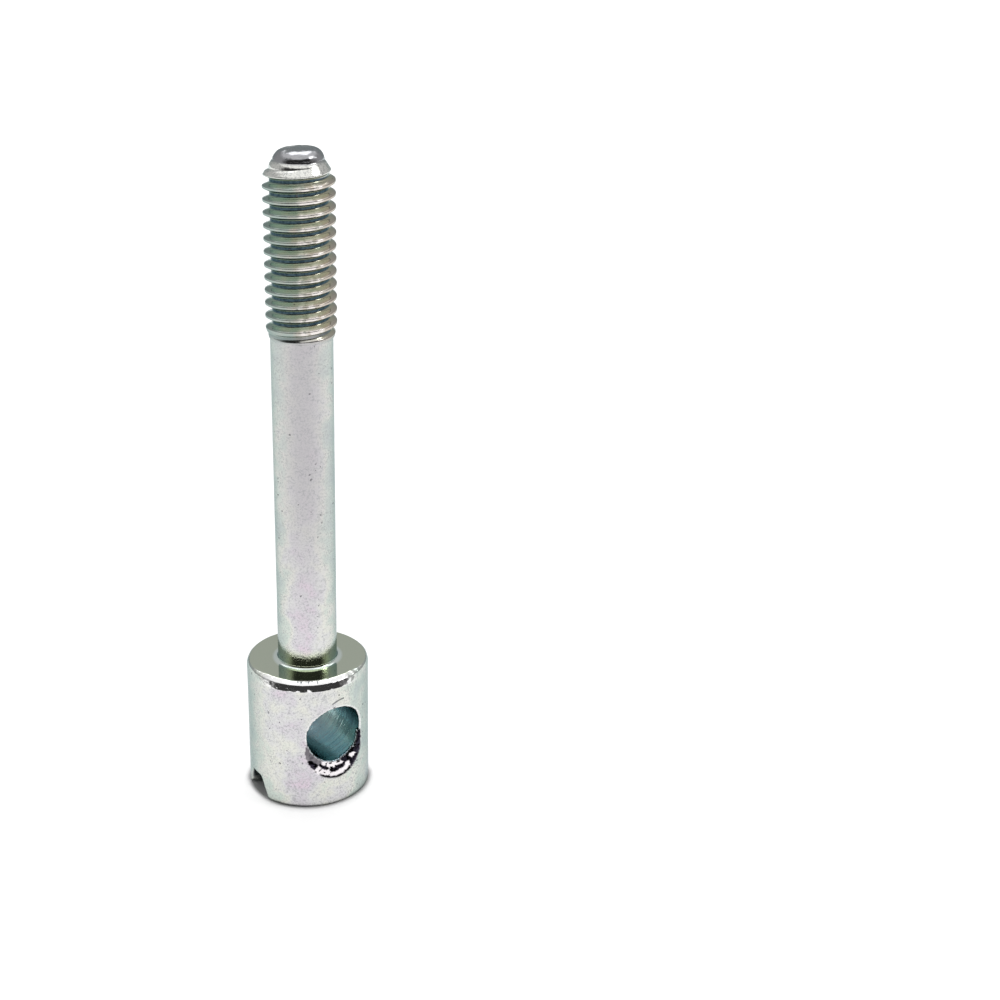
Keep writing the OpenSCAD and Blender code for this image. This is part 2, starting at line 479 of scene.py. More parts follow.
turn = np.arange(1, full_turns * columns)
strip = np.empty((full_turns * columns + columns + 1, rows), int)
strip[0, 0] = level[0]
strip[0, 1:] = add_points(0.0, strip_z + pitch * phases[1:])
strip[turn] = add_points(2 * np.pi * (turn % columns / columns)[:, None],
                         strip_z + pitch * (turn[:, None] / columns + phases))
top_z = strip_z + pitch * (full_turns + 1)
last = np.arange(columns)
last_z = strip_z + pitch * (full_turns + last / columns)
strip[full_turns * columns + last] = add_points(angles[:, None], last_z[:, None] + (top_z - last_z)[:, None] * phases)
top_level = add_points(angles[1:], top_z)
top_level = np.concatenate([add_points(angles[:1], top_z), top_level])
strip[-1] = top_level[0]
print("Helical strip:", full_turns, "full turns of", rows, "rows and", columns, "columns")

# %% [markdown]
# The faces of the strip join each column to the next, and each turn's upper edge to the lower edge of the turn above.
# In the two wedges the rows run together in a point, where the faces are triangles.

# %% Sew the strip and its two wedges
def sew_columns(left, right):
    """Faces between two columns of the strip. Where both share a point, a triangle is left."""
    for a, b, c, d in zip(left[:-1], right[:-1], right[1:], left[1:]):
        bar_faces.append(list(dict.fromkeys((int(a), int(b), int(c), int(d)))))


for i in range(full_turns * columns):
    sew_columns([*strip[i], strip[i + columns, 0]], [*strip[i + 1], strip[i + 1 + columns, 0]])

wedge = np.empty((columns + 1, rows + 1), int)
wedge[:, 0] = [*level, level[0]]
wedge[:, rows] = strip[: columns + 1, 0]
wedge[0] = level[0]
wedge[columns, :rows] = strip[0]
inner = np.arange(1, columns)
wedge[1:columns, 1:rows] = add_points(angles[1:, None], strip_z + pitch * (inner / columns)[:, None] * phases[1:])
for i in range(columns):
    sew_columns(wedge[i], wedge[i + 1])
    last_left = full_turns * columns + i
    sew_columns([*strip[last_left], top_level[i]], [*strip[last_left + 1], top_level[(i + 1) % columns]])
print("Faces of the threaded bar so far:", len(bar_faces))

# %% [markdown]
# The tip is the end of the wire, which the rolling dies pushed to a short bare nose with a rounded crown. Its rings no
# longer have one radius for each height, so here the radius is given with the height.

# %% The tip
nose_z = screw_h - tip_round
dome = 0.05
curl = np.linspace(0, np.pi / 2, 15)
top_r = np.array([0.53, 0.35, 0.18])
cap_r = np.concatenate([tip_r - tip_round + tip_round * np.cos(curl), top_r])
cap_z = np.concatenate([nose_z + (tip_round - dome) * np.sin(curl), screw_h - dome * (top_r / 0.7) ** 2])
last_ring = top_level
nose_rows = [(z, np.nan) for z in np.arange(top_z + row_step, nose_z - 0.02, row_step)]
for z, r in nose_rows + list(zip(cap_z, cap_r)):
    ring = add_points(angles, z, r)
    sew(last_ring, ring)
    last_ring = ring
print("Tip of", len(nose_rows), "rings on the thread's end and", len(cap_r), "on the crown")

# %% [markdown]
# At the other end a small fillet leads from the shank to the bearing face, as the heading die leaves it. It is a
# quarter of a circle, with two more rings on the flat face. Then one point closes the crown, and the bar is complete.

# %% The fillet at the neck
turn_in = np.linspace(0, np.pi / 2, 10)[:-1]
neck_r = np.concatenate([[2.3, 2.1], shank_r + neck_round * (1 - np.sin(turn_in))])
neck_z = np.concatenate([[head_h, head_h], shank_foot - neck_round * np.cos(turn_in)])
neck_rings = [add_points(angles, z, r) for z, r in zip(neck_z, neck_r)]
for low, high in zip(neck_rings, neck_rings[1:] + [rings[0]]):
    sew(low, high)
centre = int(add_points(0.0, screw_h, 0.0))
bar_faces.extend([int(a), int(b), centre] for a, b in zip(last_ring, np.roll(last_ring, -1)))
bar_a, bar_h, given_r = (np.concatenate(part) for part in (bar_angle, bar_z, bar_given))
bar_r = np.where(np.isnan(given_r), screw_radius(bar_a, bar_h), given_r)
bar = np.stack([bar_r * np.cos(bar_a), bar_r * np.sin(bar_a), bar_h], 1)
print("Threaded bar:", len(bar), "points,", len(bar_faces), "faces, top at", round(float(bar_h.max()), 2), "mm")

# %% [markdown]
# The head's net, its turned top and the bar each end in an open ring. Their counts differ, so two neighbours are
# closed like a zip: walk around both, and always take the next tooth from the side that lags behind.

# %% Zip the head, its top and the bar
def in_turn(numbers):
    """The numbers of some points in the order of their angle, closed to a ring, with that angle."""
    angle = np.arctan2(points[numbers, 1], points[numbers, 0]) % (2 * np.pi)
    order = np.argsort(angle)
    return np.append(numbers[order], numbers[order[0]]), np.append(angle[order], angle[order[0]] + 2 * np.pi)


def zip_up(low, high):
    """Triangles between two rings of different counts."""
    (low, low_angle), (high, high_angle) = in_turn(low), in_turn(high)
    teeth = []
    i = j = 0
    while i < len(low) - 1 or j < len(high) - 1:
        if j == len(high) - 1 or (i < len(low) - 1 and low_angle[i + 1] <= high_angle[j + 1]):
            teeth.append([int(low[i]), int(low[i + 1]), int(high[j])])
            i += 1
        else:
            teeth.append([int(low[i]), int(high[j + 1]), int(high[j])])
            j += 1
    return teeth


points = np.concatenate([knots, crown, bar])
crown_rings = crown_rings + len(knots)
bar_start = len(knots) + len(crown)
faces = head_faces.tolist() + zip_up(rim, crown_rings[0])
for low, high in zip(crown_rings, crown_rings[1:]):
    faces.extend(np.stack([low, np.roll(low, -1), np.roll(high, -1), high], 1).tolist())
faces = faces + zip_up(crown_rings[-1], neck_rings[0] + bar_start)
faces = faces + [[n + bar_start for n in f] for f in bar_faces]
print("Triangles in all:", sum(len(f) - 2 for f in faces))

# %% [markdown]
# Pressed and plated metal is never quite even. Seeded noise moves each point a few thousandths of a millimetre, so
# that reflections waver. The rolled rim at the bearing face and the tip are rougher than the rest, and the tip leans
# a little, while the bearing face, which was turned smooth, stays flat.

# %% Make the metal a little uneven
def waver(points, fineness, seed):
    """Smooth noise between -1 and 1 at some points."""
    shift = Vector((seed * 7.3, seed * 3.1, seed * 5.7))
    return np.array([noise.noise(Vector(p) * fineness + shift) for p in points])


mesh = bpy.data.meshes.new("plated_screw")
mesh.from_pydata((points * 0.001).tolist(), [], faces)
normals = np.empty(len(points) * 3)
mesh.vertex_normals.foreach_get("vector", normals)
normals = normals.reshape(-1, 3)
out = np.hypot(points[:, 0], points[:, 1])
z = points[:, 2]
on_face = ease(0.03, 0.01, np.abs(z - head_h)) * ease(3.5, 3.45, out) * ease(1.7, 1.8, out)
on_rim = ease(0.75, 0.5, np.hypot(out - head_r, z - head_h)) * (1 - on_face)
on_tip = ease(37.45, 37.75, z)
move = 0.006 * waver(points, 0.8, 1) + 0.0025 * waver(points, 2.6, 2)
jags = 0.01 * waver(points, 2.2, 5) + 0.007 * waver(points, 5, 3) + 0.0035 * waver(points, 11, 7)
move = move * (1 - on_face) + on_rim * jags
move = move + on_tip * (0.03 * waver(points, 1.7, 4) + 0.014 * waver(points, 4, 6) - 0.02)
points = points + move[:, None] * normals
points[:, 2] += 0.04 * ease(37.5, 38.1, z) * (0.89 * points[:, 0] - 0.46 * points[:, 1] - 0.7)
points[:, 2] = np.clip(points[:, 2], 0, screw_h)
mesh.vertices.foreach_set("co", (points * 0.001).ravel())
mesh.update()
print("Unevenness up to", round(float(np.abs(move).max()), 3), "mm")

# %% [markdown]
# The finish differs from place to place, and some places carry painted light: teal in the drilled hole, mirror-bright
# on the lip, smooth on the bearing face. A point attribute per place carries this to the material, and it stays with
# the mesh however it is viewed. The hole comes first, with its lip, the lip's dark shards, which are a painted dark
# reflection, a painted shade line along the lip's rim, and a painted highlight around the mouth.

# %% Mark the hole and its lip
def mark(name, value):
    """Stores one number for each point of the mesh."""
    layer = mesh.attributes.new(name, "FLOAT", "POINT")
    layer.data.foreach_set("value", np.ascontiguousarray(value, np.float32))
    print(f"{name}: {np.count_nonzero(value > 0.5)} points")


x, y, z = points.T
in_head = z < head_h - 0.05
depth_in = head_r - np.hypot(x, y)
bore_gap = np.abs(bore_wall(x, z))
in_bore = ease(0.08, 0.03, bore_gap) * (depth_in > 0.06) * in_head
on_lip = ease(0.07, 0.03, np.abs(crushed_lip(x, y, z))) * (y < -1) * (depth_in > 0.02) * in_head * (1 - in_bore)
kind = shard_kind[nearest_shard(x, z)]
streaks = 0.85 + 0.13 * waver(points, 7, 8)
# Painted dark reflection: the dark and grey shards of the lip are marked for a near black colour.
painted_dark_lip = on_lip * np.where(kind == GREY, streaks, kind == DARK)
# Painted shade: a dark line along the lip's rim.
painted_lip_shade_line = ease(0.1, 0.03, np.abs(np.hypot(x, z - lip_z) - lip_r)) * ease(-1.2, -1.0, x) * ease(3.4, 3.0, z)
# Painted highlight: a near white line along the upper mouth of the hole.
painted_mouth_highlight = ease(0.16, 0.04, bore_gap) * ease(0.12, 0.02, np.abs(depth_in)) * (z > hole_z - 0.4) * in_head
mark("bore", in_bore)
mark("lip", on_lip)
mark("painted_dark_lip", np.maximum(painted_dark_lip, painted_lip_shade_line * (y < -2) * (depth_in > -0.02) * (bore_gap > 0.1)))
mark("edge", painted_mouth_highlight)

# %% [markdown]
# The other places are the worn rim, painted near white in front as a painted highlight, the fillet at the neck, painted
# bright as a painted highlight, the bearing face, the thread's groove and the tip. The slot and the recess are painted
# dark inside, a painted shade. At a mouth of the slot, the wall at the far side gets the painted shade up to its edge,
# and the near one keeps the plate's colour where it flares.

# %% Mark the other places
in_front = ease(0.55, 0.85, np.cos(np.arctan2(y, x) + camera_turn))
in_slot = np.minimum(np.abs(end_slot(x, y, z)), np.abs(cross_recess(x, y, z)))
in_end = ease(0.1, 0.03, in_slot) * (z > 0.05) * (z < 3)
painted_far_wall_shade = ease(-0.1, 0.1, y * np.sign(-x)) * ease(0.02, 0.12, depth_in) * ease(0.3, 0.7, z)
# Painted highlight: the rim's front, the side towards the camera, is marked for a near white colour.
mark("rim", on_rim * in_front * ease(7.66, 7.76, z))
# Painted highlight: the fillet at the neck is marked for a bright ring.
mark("neck", ease(0.03, 0.06, out - shank_r) * ease(2.07, 1.97, out) * (z > head_h - 0.02) * (z < head_h + 0.5))
# Painted shade: the slot and the recess are marked for a near black colour, and the far wall of each mouth up to its
# edge.
mark("end", in_end * np.maximum(ease(0.2, 0.6, depth_in), painted_far_wall_shade))
mark("face", on_face)
mark("groove", ease(0.02, 0.4, thread_r - np.hypot(x, y)) * ease(27.9, 28.1, z) * ease(37.0, 36.8, z))
mark("tip", on_tip)

# %% [markdown]
# The mesh becomes an object. All its faces are shaded smooth, but for the lip's shards: they stay flat, so that each
# one is a small mirror.

# %% Make the object
flat = on_lip > 0.6
mesh.polygons.foreach_set("use_smooth", [not flat[list(f.vertices)].all() for f in mesh.polygons])
screw = bpy.data.objects.new("plated_screw", mesh)
bpy.context.collection.objects.link(screw)
print("Mesh is sound:", not mesh.validate(), "-", len(mesh.vertices), "points")

# %% [markdown]
# The plate is bright zinc under a clear film as thin as light waves, which tints it: lilac where it faces you,
# yellow and green to the sides, teal where light bounces twice, as in the hole and the thread.
# A view-dependent colour would slide about, so the tint is laid on the metal: soft bands around the axis and noise.

# %% Start the zinc plate
zinc = bpy.data.materials.new("zinc_plate")
zinc.use_nodes = True
tree = zinc.node_tree
plate = tree.nodes["Principled BSDF"]
plate.inputs["Metallic"].default_value = 1.0
plate.inputs["Specular Tint"].default_value = (0.55, 0.62, 0.62, 1)
print("Material", zinc.name, "started")

# %% [markdown]
# A node tree is wired with the same few steps again and again. Each helper adds one node to the tree at hand, sets its
# numbers, links its inputs and returns its output, so that a line of them reads like a formula.

# %% Helpers that wire nodes
def node(kind, **settings):
    """A new node in the tree at hand, with some of its own settings."""
    made = tree.nodes.new(kind)
    for name, value in settings.items():
        setattr(made, name, value)
    return made


def link(source, target):
    """Joins an output to an input, where both are given as sockets."""
    tree.links.new(source, target)


def feed(socket, value):
    """Gives an input its value: a socket is linked, a colour or a number is set."""
    if isinstance(value, bpy.types.NodeSocket):
        link(value, socket)
    else:
        socket.default_value = (*value, 1) if isinstance(value, tuple) else value


def math_node(operation, *values, clamp=False):
    """One step of arithmetic on sockets and numbers."""
    made = node("ShaderNodeMath", operation=operation, use_clamp=clamp)
    for socket, value in zip(made.inputs, values):
        feed(socket, value)
    return made.outputs[0]


def step_node(value, low, high):
    """A soft step from 0 at low to 1 at high."""
    made = node("ShaderNodeMapRange", interpolation_type="SMOOTHSTEP")
    link(value, made.inputs["Value"])
    made.inputs["From Min"].default_value = low
    made.inputs["From Max"].default_value = high
    return made.outputs["Result"]


def noise_node(place, scale, detail=2.0, roughness=0.5):
    """Cloudy noise from 0 to 1 at some fineness per millimetre."""
    made = node("ShaderNodeTexNoise")
    link(place, made.inputs["Vector"])
    made.inputs["Scale"].default_value = scale
    made.inputs["Detail"].default_value = detail
    made.inputs["Roughness"].default_value = roughness
    return made.outputs["Fac"]


def mix_colour(share, below, above):
    """Lays one colour over another by a share."""
    made = node("ShaderNodeMix", data_type="RGBA")
    for number, value in ((0, share), (6, below), (7, above)):
        feed(made.inputs[number], value)
    return made.outputs[2]


def place_mark(name):
    """The number that was marked on the mesh."""
    return node("ShaderNodeAttribute", attribute_name=name).outputs["Fac"]


to_mm = node("ShaderNodeVectorMath", operation="SCALE")
link(node("ShaderNodeTexCoord").outputs["Object"], to_mm.inputs[0])
to_mm.inputs["Scale"].default_value = 1000
place = to_mm.outputs[0]
apart = node("ShaderNodeSeparateXYZ")
link(place, apart.inputs[0])
print("Places on the metal come in millimetres")

# %% [markdown]
# The film's tint runs through a colour ramp, from green over yellow and near white to lilac.
# What drives it is a wave around the axis, three to a turn, loosened by noise at two sizes. The two sides of the screw,
# as the camera sees them, get a painted shade, and the front of the shank turns greyer towards the thread.

# %% The tint of the film
around = math_node("ARCTAN2", apart.outputs["Y"], apart.outputs["X"])
from_front = math_node("ADD", around, camera_turn)
wave = math_node("COSINE", math_node("MULTIPLY", from_front, 3.0))
clouds = math_node("SUBTRACT", noise_node(place, 0.5, 2), 0.5)
patches = math_node("SUBTRACT", noise_node(place, 1.7, 3), 0.5)
film = math_node("ADD", math_node("MULTIPLY", wave, 0.2),
                 math_node("ADD", math_node("MULTIPLY", clouds, 1.1), math_node("MULTIPLY", patches, 0.5)))
tint = node("ShaderNodeValToRGB")
link(math_node("ADD", film, 0.5), tint.inputs["Fac"])
ramp = tint.color_ramp
ramp.elements[0].position = 0.1
ramp.elements[0].color = (0.52, 0.58, 0.56, 1)
ramp.elements[1].position = 0.92
ramp.elements[1].color = (0.71, 0.61, 0.69, 1)
for position, colour in ((0.3, (0.60, 0.67, 0.61)), (0.45, (0.74, 0.74, 0.68)), (0.58, (0.69, 0.69, 0.685)),
                         (0.75, (0.65, 0.62, 0.66))):
    ramp.elements.new(position).color = (*colour, 1)
height_up = apart.outputs["Z"]
twice_around = math_node("COSINE", math_node("MULTIPLY", from_front, 2.0))
flanks = math_node("MULTIPLY", math_node("SUBTRACT", 1.0, twice_around), 0.5)
# Painted shade: the sides of the screw, as the camera sees them, are darkened towards a grey-blue.
painted_side_shade = math_node("MULTIPLY", math_node("POWER", flanks, 2.0), 0.38)
film_colour = mix_colour(painted_side_shade, tint.outputs["Color"], (0.36, 0.41, 0.41))
front_share = math_node("SUBTRACT", 0.88, math_node("MULTIPLY", flanks, 0.9), clamp=True)
grey_share = math_node("MULTIPLY", step_node(height_up, 8.0, 21.0), front_share)
film_colour = mix_colour(grey_share, film_colour, (0.46, 0.445, 0.46))
print("Film ramp with", len(ramp.elements), "colours")

# %% [markdown]
# In the thread the film shows twice, because light bounces between the flanks, and its colour deepens; this too is laid
# on as colour. The flanks that face up are green at the left and tan at the right, and the root gets a painted shade, a
# nearly black blue. The direction of the surface tells them apart. The crests get a painted glint on the side that
# faces the camera, a little to its right, in patches.

# %% Tints of the thread
facing = node("ShaderNodeSeparateXYZ")
link(node("ShaderNodeNewGeometry").outputs["Normal"], facing.inputs[0])
upwards = step_node(facing.outputs["Z"], 0.1, 0.7)
downwards = step_node(facing.outputs["Z"], -0.2, -0.6)
sideways = math_node("SINE", from_front)
rightward = step_node(math_node("ADD", sideways, math_node("MULTIPLY", patches, 2.5)), -0.9, 0.8)
upper_tint = mix_colour(rightward, (0.37, 0.49, 0.40), (0.53, 0.52, 0.39))
# Painted shade in the root of the thread: a nearly black blue, streaked.
root_streaks = step_node(noise_node(place, 6.0, 3), 0.35, 0.65)
painted_root_shade = mix_colour(root_streaks, (0.02, 0.04, 0.055), (0.05, 0.085, 0.105))
flank = mix_colour(downwards, mix_colour(upwards, painted_root_shade, upper_tint), (0.50, 0.55, 0.45))
# Painted glint: the crests are brightened on the side facing the camera, a little to its right, in patches.
glint_side = step_node(math_node("COSINE", math_node("ADD", around, math.radians(100))), 0.9, 0.97)
painted_glint = math_node("MULTIPLY", glint_side, step_node(noise_node(place, 2.2, 2), 0.4, 0.55))
crest = mix_colour(painted_glint, mix_colour(rightward, (0.36, 0.43, 0.40), (0.55, 0.49, 0.43)), (0.84, 0.79, 0.76))
threaded = math_node("MULTIPLY", step_node(height_up, 27.95, 28.3), step_node(height_up, 36.95, 36.75))
colour = mix_colour(threaded, film_colour, crest)
colour = mix_colour(place_mark("groove"), colour, flank)
print("Thread tinted")

# %% [markdown]
# The drilled hole is teal for the same reason, and darker and bluer at its bottom, a painted shade. The drill left fine
# rings, which are noise that is stretched along the walls and squeezed along the hole's axis.

# %% Tints of the hole
drill = node("ShaderNodeCombineXYZ")
for axis, fineness in (("X", 0.4), ("Y", 7.0), ("Z", 0.4)):
    link(math_node("MULTIPLY", apart.outputs[axis], fineness), drill.inputs[axis])
ring_noise = noise_node(drill.outputs[0], 1.0, 3)
bore_tint = mix_colour(step_node(ring_noise, 0.35, 0.65), (0.27, 0.42, 0.44), (0.42, 0.60, 0.57))
# Painted shade: the lower part of the hole is darker and bluer.
painted_bore_shade = math_node("MULTIPLY", step_node(height_up, hole_z - 1.1, hole_z - 1.7), 0.6)
bore_tint = mix_colour(painted_bore_shade, bore_tint, (0.19, 0.31, 0.40))
print("Rings along the hole's axis, 7 to the millimetre")

# %% [markdown]
# The other tints are laid over one another like masks: the foot of the shank, with a painted reflection of the bearing
# face, yellow-green in front and teal at its sides, then each marked place with one colour, and at the tip the bevel
# with a painted highlight and the grey nose.

# %% Tints of the marked places
at_foot = math_node("MULTIPLY", step_node(height_up, 9.6, 8.7), step_node(height_up, 8.2, 8.32))
foot_side = step_node(math_node("ABSOLUTE", sideways), 0.55, 0.85)
# Painted reflection of the bearing face on the foot of the shank, yellow-green in front and teal at its sides.
painted_foot_reflection = mix_colour(foot_side, (0.68, 0.77, 0.47), (0.42, 0.55, 0.49))
colour = mix_colour(math_node("MULTIPLY", at_foot, 0.8), colour, painted_foot_reflection)
# Painted highlight: a near white band on the bevel at the end of the thread.
bevel = math_node("MULTIPLY", step_node(height_up, 36.8, 36.95), step_node(height_up, 37.65, 37.5))
# Of these tints, the rim, the neck, the edge of the hole and the bevel are painted highlights, the near black in the
# slot and recess is a painted shade, and the dark lip tint is a painted reflection.
for share, place_tint in ((place_mark("face"), (0.66, 0.71, 0.59)), (place_mark("bore"), bore_tint),
                          (place_mark("end"), (0.06, 0.08, 0.08)), (place_mark("rim"), (0.92, 0.92, 0.92)),
                          (place_mark("neck"), (0.84, 0.92, 0.88)), (place_mark("lip"), (0.90, 0.86, 0.88)),
                          (place_mark("painted_dark_lip"), (0.03, 0.025, 0.04)), (place_mark("edge"), (0.93, 0.93, 0.92)),
                          (bevel, (0.86, 0.86, 0.82)), (place_mark("tip"), (0.42, 0.42, 0.44))):
    colour = mix_colour(share, colour, place_tint)
print("Tints laid over the film")

# %% [markdown]
# Up close the plate is grainy, with dark speckles. Polished places and the thread are spared. The grain is fine noise,
# and a coarser one makes it denser in patches.

# %% Grain
grain = noise_node(place, 9.0, 4, 0.6)
smooth_places = math_node("MAXIMUM", math_node("MAXIMUM", place_mark("face"), place_mark("lip")),
                          math_node("MAXIMUM", place_mark("neck"), place_mark("rim")))
plain_places = math_node("SUBTRACT", 1.0, math_node("MAXIMUM", smooth_places, threaded))
speckle = math_node("MULTIPLY", step_node(grain, 0.56, 0.36), plain_places)
density = math_node("ADD", math_node("MULTIPLY", step_node(patches, -0.12, 0.2), 0.35), 0.3)
colour = mix_colour(math_node("MULTIPLY", speckle, density), colour, (0.32, 0.33, 0.34))
print("Grain of about", round(1 / 9.0, 2), "mm")

# %% [markdown]
# Dark pinholes sit where the zinc didn't take. Voronoi cells scatter them: each cell has one point, and only the cells
# with a high random value keep it. The cells are shaken by noise first, so that no pinhole is quite round. A short
# nick above the hole is drawn along an arc of its own.

# %% Pinholes and the nick
shake = node("ShaderNodeTexNoise")
link(place, shake.inputs["Vector"])
shake.inputs["Scale"].default_value = 7.0
lessen = node("ShaderNodeVectorMath", operation="SCALE")
link(shake.outputs["Color"], lessen.inputs[0])
lessen.inputs["Scale"].default_value = 0.18
stir = node("ShaderNodeVectorMath", operation="ADD")
link(place, stir.inputs[0])
link(lessen.outputs[0], stir.inputs[1])
cells_per_mm = 3.2
holes = node("ShaderNodeTexVoronoi")
link(stir.outputs[0], holes.inputs["Vector"])
holes.inputs["Scale"].default_value = cells_per_mm
luck = node("ShaderNodeSeparateColor")
link(holes.outputs["Color"], luck.inputs[0])
kept = math_node("MULTIPLY", math_node("GREATER_THAN", luck.outputs["Red"], 0.6),
                 math_node("SUBTRACT", 1.0, smooth_places))
pinhole_r = math_node("ADD", math_node("MULTIPLY", math_node("POWER", luck.outputs["Green"], 3.0), 0.16), 0.05)
pinhole = math_node("MULTIPLY", kept, math_node("LESS_THAN", holes.outputs["Distance"], pinhole_r))
arc_x = apart.outputs["X"]
arc_slope = math_node("SUBTRACT", 0.345, math_node("MULTIPLY", arc_x, 0.41))
arc_z = math_node("ADD", math_node("MULTIPLY", arc_x, arc_slope), 6.86)
off_nick = math_node("ABSOLUTE", math_node("SUBTRACT", height_up, arc_z))
along_nick = math_node("MULTIPLY", math_node("COMPARE", arc_x, 0.08, 0.39),
                       math_node("LESS_THAN", apart.outputs["Y"], -3.0))
nick = math_node("MULTIPLY", along_nick, step_node(off_nick, 0.07, 0.03))
pits = math_node("MAXIMUM", pinhole, nick)
colour = mix_colour(math_node("MULTIPLY", pits, 0.75), colour, (0.08, 0.08, 0.09))
link(colour, plate.inputs["Base Color"])
print("One pinhole at most in each cell of", round(1 / cells_per_mm, 2), "mm")

# %% [markdown]
# Gloss: the head's side is satin from tumbling, the shank is brighter, and the bearing face and the lip are nearly
# mirrors. Grain, pits and the drill's rings are also a fine relief, a few thousandths of a millimetre deep. A bump node
# is enough for that, because no outline shows it.

# %% Gloss and relief
shine = math_node("ADD", math_node("MULTIPLY", noise_node(place, 1.2, 3), 0.12), 0.1)
headwards = step_node(height_up, 8.6, 7.8)
shine = math_node("ADD", shine, math_node("MULTIPLY", headwards, 0.04))
polished = math_node("MAXIMUM", math_node("MAXIMUM", smooth_places, place_mark("bore")), at_foot)
shine = math_node("SUBTRACT", shine, math_node("MULTIPLY", polished, 0.14))
link(math_node("MAXIMUM", shine, 0.06), plate.inputs["Roughness"])

rings_cut = math_node("MULTIPLY", math_node("MULTIPLY", ring_noise, 2.5), place_mark("bore"))
height = math_node("SUBTRACT", math_node("MULTIPLY", grain, 0.8), math_node("MULTIPLY", pits, 0.8))
height = math_node("ADD", math_node("MULTIPLY", height, plain_places), rings_cut)
relief = node("ShaderNodeBump")
relief.inputs["Strength"].default_value = 1.0
relief.inputs["Distance"].default_value = 0.00001
link(height, relief.inputs["Height"])
link(relief.outputs["Normal"], plate.inputs["Normal"])
mesh.materials.append(zinc)
print("Gloss and relief joined")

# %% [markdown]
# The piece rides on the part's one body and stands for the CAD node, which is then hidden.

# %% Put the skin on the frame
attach(screw, "root")
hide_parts("capstan_screw")

# %% [markdown]
# The table is a wide white sheet. It takes the screw's shadow as a plain diffuse surface, and a little light of its own
# brings it to white for the camera and for what the metal reflects. That light is cut by a painted contact shadow: it
# fades inside a ring around the screw's axis, under the head and just beyond its side, and where ambient occlusion
# finds the narrow gap under its rim, so the dark line around the foot stays. Far away, where the lamps grow weak, it is
# a little stronger, so that the table runs out into a white room.

# %% The white table
def seen_or_mirrored():
    """1 for what the camera sees, straight, in a mirror or through glass, and 0 for what only lights the scene."""
    seen = node("ShaderNodeLightPath").outputs
    in_glass = math_node("MAXIMUM", seen["Is Glossy Ray"], seen["Is Transmission Ray"])
    return math_node("MAXIMUM", seen["Is Camera Ray"], in_glass)


floor_mesh = bpy.data.meshes.new("white_table")
half = 4.0
floor_mesh.from_pydata([(-half, -half, 0), (half, -half, 0), (half, half, 0), (-half, half, 0)], [], [(0, 1, 2, 3)])
floor = bpy.data.objects.new("white_table", floor_mesh)
bpy.context.collection.objects.link(floor)
floor.location.z = -0.00001
paper = bpy.data.materials.new("white_paper")
paper.use_nodes = True
tree = paper.node_tree
tree.nodes.remove(tree.nodes["Principled BSDF"])
matt = node("ShaderNodeBsdfDiffuse")
matt.inputs["Color"].default_value = (0.84, 0.84, 0.84, 1)
own = node("ShaderNodeEmission")
own.inputs["Color"].default_value = (1, 1, 1, 1)
open_sky = node("ShaderNodeAmbientOcclusion", samples=4)
open_sky.inputs["Distance"].default_value = 0.0007
from_axis = node("ShaderNodeVectorMath", operation="LENGTH")
link(node("ShaderNodeTexCoord").outputs["Object"], from_axis.inputs[0])
# Painted contact shadow: the table's own light is cut by ambient occlusion within less than a millimetre, and inside a
# ring around the head's foot.
outside_painted_shadow = math_node("MULTIPLY", step_node(open_sky.outputs["AO"], 0.5, 0.85),
                step_node(from_axis.outputs["Value"], 0.001 * (head_r - 0.15), 0.001 * (head_r + 0.25)))
afar = math_node("ADD", math_node("MULTIPLY", step_node(from_axis.outputs["Value"], 0.1, 0.4), 0.13), 0.72)
link(math_node("MULTIPLY", math_node("MULTIPLY", seen_or_mirrored(), outside_painted_shadow), afar), own.inputs["Strength"])
sheet = node("ShaderNodeAddShader")
link(matt.outputs[0], sheet.inputs[0])
link(own.outputs[0], sheet.inputs[1])
link(sheet.outputs[0], tree.nodes["Material Output"].inputs["Surface"])
floor_mesh.materials.append(paper)
floor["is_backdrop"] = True
print("Table of", 2 * half, "m")

# %% [markdown]
# The room is a white tent. The world is white to the camera, to gloss and to glass, and a plain soft grey as light.

# %% The white room
room = bpy.data.worlds.new("white_room")
room.use_nodes = True
tree = room.node_tree
background = tree.nodes["Background"]
background.inputs["Color"].default_value = (1, 1, 1, 1)
link(math_node("ADD", math_node("MULTIPLY", seen_or_mirrored(), 0.8), 0.2), background.inputs["Strength"])
bpy.context.scene.world = room
print("World", room.name)

# %% [markdown]
# In a plain white room, polished metal has nothing to show. A photographer hangs grey cloth around the table, so that
# rims and flats turn dark against the white. Here it is a band of a dome that is no lamp but glows with a light of its
# own, dark in front and grey behind, and only the metal's reflections see it.

# %% The grey drape around the table
drape_mesh = bpy.data.meshes.new("grey_drape")
reach = 0.9
lower, upper = math.radians(1), math.radians(43)
bands, steps = 12, 96
ring_points = [(reach * math.cos(e) * math.cos(t), reach * math.cos(e) * math.sin(t), reach * math.sin(e))
               for e in np.linspace(lower, upper, bands + 1)
               for t in np.linspace(0, 2 * math.pi, steps, endpoint=False)]
ring_faces = [(r * steps + i, r * steps + (i + 1) % steps, (r + 1) * steps + (i + 1) % steps, (r + 1) * steps + i)
              for r in range(bands) for i in range(steps)]
drape_mesh.from_pydata(ring_points, [], ring_faces)
drape = bpy.data.objects.new("grey_drape", drape_mesh)
bpy.context.collection.objects.link(drape)
drape.visible_camera = False
drape.visible_shadow = False
cloth = bpy.data.materials.new("grey_cloth")
cloth.use_nodes = True
tree = cloth.node_tree
tree.nodes.remove(tree.nodes["Principled BSDF"])
glow = node("ShaderNodeEmission")
glow.inputs["Color"].default_value = (1, 1, 1, 1)
side = node("ShaderNodeSeparateXYZ")
link(node("ShaderNodeTexCoord").outputs["Object"], side.inputs[0])
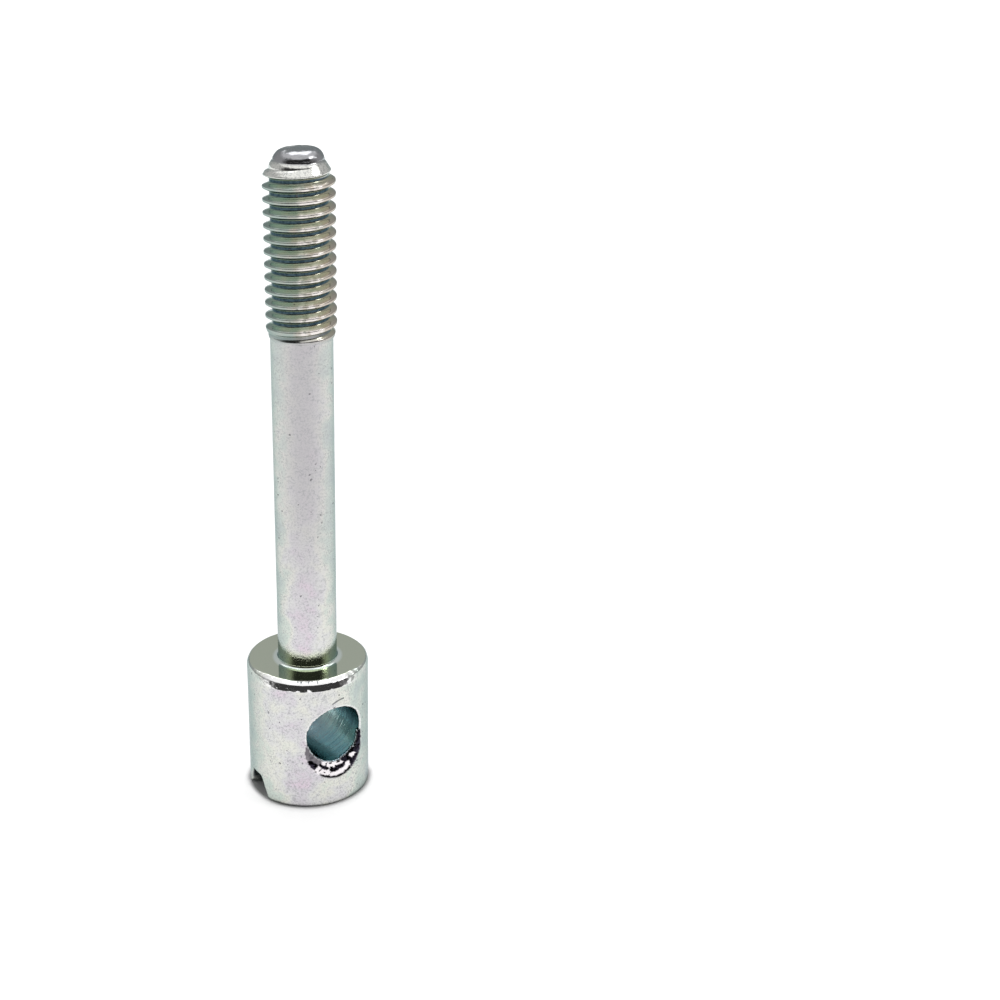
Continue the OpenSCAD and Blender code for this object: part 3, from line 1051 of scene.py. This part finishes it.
ahead = math_node("ADD", math_node("MULTIPLY", side.outputs["X"], -0.46 / reach),
                  math_node("MULTIPLY", side.outputs["Y"], -0.888 / reach))
darkened = math_node("MULTIPLY", step_node(ahead, 0.1, 0.55), 0.46)
link(math_node("SUBTRACT", 0.5, darkened), glow.inputs["Strength"])
link(glow.outputs[0], tree.nodes["Material Output"].inputs["Surface"])
drape_mesh.materials.append(cloth)
drape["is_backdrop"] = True
print("Drape from", round(math.degrees(lower)), "to", round(math.degrees(upper)), "degrees")

# %% [markdown]
# Two soft lamps: a wide one overhead, a little behind, which lights the rims, and a smaller one at the right that
# puts a glint on each crest of the thread.

# %% The lamps
def soft_lamp(name, spot, size, power):
    """A square lamp at a spot, looking at the middle of the screw."""
    data = bpy.data.lights.new(name, "AREA")
    data.shape = "SQUARE"
    data.size = size
    data.energy = power
    lamp = bpy.data.objects.new(name, data)
    bpy.context.collection.objects.link(lamp)
    lamp.location = spot
    lamp.rotation_euler = (Vector((0, 0, 0.02)) - Vector(spot)).to_track_quat("-Z", "Y").to_euler()
    print(f"{name}: {power} W, {size} m across")
    return lamp


soft_lamp("overhead_lamp", (0.12, 0.22, 0.6), 0.45, 1.1)
soft_lamp("right_lamp", (0.35, -0.3, 0.42), 0.16, 0.3)

# %% [markdown]
# The camera stands where the photographer's stood: about ten centimetres away, above the screw and in front.
# Its place was found by fitting a pinhole camera to the screw's own outline, with a slight roll of the hand.

# %% The camera
eye = Vector((-0.03994, -0.07696, 0.054556))
forward = Vector((0.5265, 0.7576, -0.38575)).normalized()
right = forward.cross(Vector((0, 0, 1))).normalized()
down = forward.cross(right)
roll = math.radians(-1.79183)
across = math.cos(roll) * right + math.sin(roll) * down
fall = -math.sin(roll) * right + math.cos(roll) * down
camera_data = bpy.data.cameras.new("camera")
camera_data.sensor_width = 36
camera_data.lens = 58.97
camera_data.clip_start = 0.001
camera_data.clip_end = 100
camera = bpy.data.objects.new("camera", camera_data)
bpy.context.collection.objects.link(camera)
camera.matrix_world = Matrix.Translation(eye) @ Matrix((across, -fall, -forward)).transposed().to_4x4()
bpy.context.scene.camera = camera
focal = 1000 * camera_data.lens / camera_data.sensor_width
foot_at = [500 + focal * eye.dot(axis) / eye.dot(forward) for axis in (across, fall)]
print("The screw's foot shows at pixel", [round(v, 1) for v in foot_at])

# %% [markdown]
# The picture is shown as it is lit, with no film look. The last lines note the skin's box, which can be compared with
# the CAD model's.

# %% View, sizes and the end
bpy.context.scene.view_settings.view_transform = "Standard"
low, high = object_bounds()
print("Skin box in mm:", [round(1000 * v, 2) for v in (*low, *high)])
